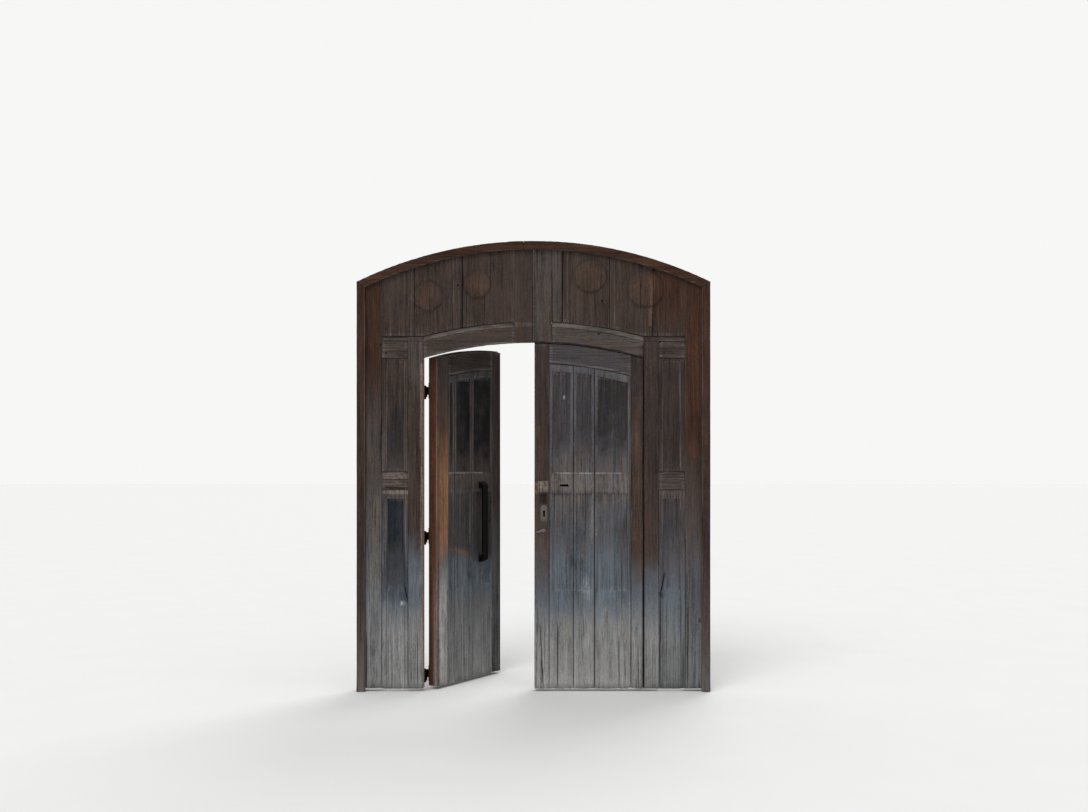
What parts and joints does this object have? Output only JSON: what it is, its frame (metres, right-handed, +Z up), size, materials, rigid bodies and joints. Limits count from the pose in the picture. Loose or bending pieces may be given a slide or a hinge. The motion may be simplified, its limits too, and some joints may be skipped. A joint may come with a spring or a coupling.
{
  "type": "arched carriage gate door",
  "caption": "Arched timber carriage door in its frame: big leaves that open inwards, a wicket leaf in each, strap hinges, rod bolts and a rim lock.",
  "frame": {"origin": "on the floor, midway between the two posts, at half the depth of the frame", "axes": "+X to the right as seen from the street, +Y into the building, +Z up"},
  "size_m": [2.154, 0.659, 2.745],
  "materials": {
    "leaf_timber": "weathered, bleached grey softwood with brown sheltered parts",
    "frame_timber": "dark reddish brown, dull",
    "ledge_timber": "plain sawn brown",
    "dark_iron": "nearly black, rough forged iron",
    "pale_iron": "pale worn plate"
  },
  "bodies": {
    "frame": {"head_keepers": "dark_iron", "jamb_pintles": "dark_iron", "left_head": "frame_timber", "left_jamb": "frame_timber", "right_head": "frame_timber", "right_jamb": "frame_timber"},
    "left_leaf": {"left_leaf_arched_rail": "leaf_timber", "left_leaf_bolt_guides": "dark_iron", "left_leaf_inner_stile": "leaf_timber", "left_leaf_ledges": "ledge_timber", "left_leaf_lower_board": "leaf_timber", "left_leaf_meeting_stile": "leaf_timber", "left_leaf_mid_cross_rail": "leaf_timber", "left_leaf_outer_stile": "leaf_timber", "left_leaf_straps": "dark_iron", "left_leaf_upper_board_1": "leaf_timber", "left_leaf_upper_board_2": "leaf_timber", "left_leaf_upper_board_3": "leaf_timber", "left_leaf_upper_cross_rail": "leaf_timber", "left_leaf_upper_panel": "leaf_timber", "left_leaf_wicket_pintles": "dark_iron"},
    "right_leaf": {"right_leaf_arched_rail": "leaf_timber", "right_leaf_bolt_guides": "dark_iron", "right_leaf_inner_stile": "leaf_timber", "right_leaf_ledges": "ledge_timber", "right_leaf_lower_board": "leaf_timber", "right_leaf_meeting_stile": "leaf_timber", "right_leaf_mid_cross_rail": "leaf_timber", "right_leaf_outer_stile": "leaf_timber", "right_leaf_straps": "dark_iron", "right_leaf_upper_board_1": "leaf_timber", "right_leaf_upper_board_2": "leaf_timber", "right_leaf_upper_board_3": "leaf_timber", "right_leaf_upper_board_4": "leaf_timber", "right_leaf_upper_cross_rail": "leaf_timber", "right_leaf_upper_panel": "leaf_timber", "right_leaf_wicket_pintles": "dark_iron"},
    "left_wicket": {"left_wicket_board_1": "leaf_timber", "left_wicket_board_2": "leaf_timber", "left_wicket_board_3": "leaf_timber", "left_wicket_hanging_stile": "leaf_timber", "left_wicket_ledges": "ledge_timber", "left_wicket_lock_keeper": "dark_iron", "left_wicket_meeting_stile": "leaf_timber", "left_wicket_pull_handle": "dark_iron", "left_wicket_straps": "dark_iron", "left_wicket_top_rail": "leaf_timber"},
    "right_wicket": {"right_wicket_board_1": "leaf_timber", "right_wicket_board_2": "leaf_timber", "right_wicket_board_3": "leaf_timber", "right_wicket_escutcheon": "pale_iron", "right_wicket_hanging_stile": "leaf_timber", "right_wicket_ledges": "ledge_timber", "right_wicket_lock_case": "dark_iron", "right_wicket_meeting_stile": "leaf_timber", "right_wicket_straps": "dark_iron", "right_wicket_top_rail": "leaf_timber"},
    "left_bolt": {"left_leaf_bolt": "dark_iron"},
    "right_bolt": {"right_leaf_bolt": "dark_iron"},
    "lock_bolt": {"right_wicket_lock_bolt": "dark_iron"}
  },
  "joints": [
    {"name": "left_leaf_hinge", "type": "hinge", "parent": "frame", "child": "left_leaf", "pos_m": [-1.04, 0.069, 1.2], "axis": [0, 0, 1], "range_deg": [0, 100]},
    {"name": "right_leaf_hinge", "type": "hinge", "parent": "frame", "child": "right_leaf", "pos_m": [1.04, 0.069, 1.2], "axis": [0, 0, -1], "range_deg": [0, 100]},
    {"name": "left_wicket_hinge", "type": "hinge", "parent": "left_leaf", "child": "left_wicket", "pos_m": [-0.672, 0.061, 1], "axis": [0, 0, 1], "range_deg": [-56, 44]},
    {"name": "right_wicket_hinge", "type": "hinge", "parent": "right_leaf", "child": "right_wicket", "pos_m": [0.672, 0.061, 1], "axis": [0, 0, -1], "range_deg": [0, 100]},
    {"name": "left_bolt_slide", "type": "slide", "parent": "left_leaf", "child": "left_bolt", "axis": [0, 0, 1], "range_m": [0, 0.044]},
    {"name": "right_bolt_slide", "type": "slide", "parent": "right_leaf", "child": "right_bolt", "axis": [0, 0, 1], "range_m": [0, 0.044]},
    {"name": "lock_bolt_slide", "type": "slide", "parent": "right_wicket", "child": "lock_bolt", "axis": [-1, 0, 0], "range_m": [0, 0.028]}
  ]
}
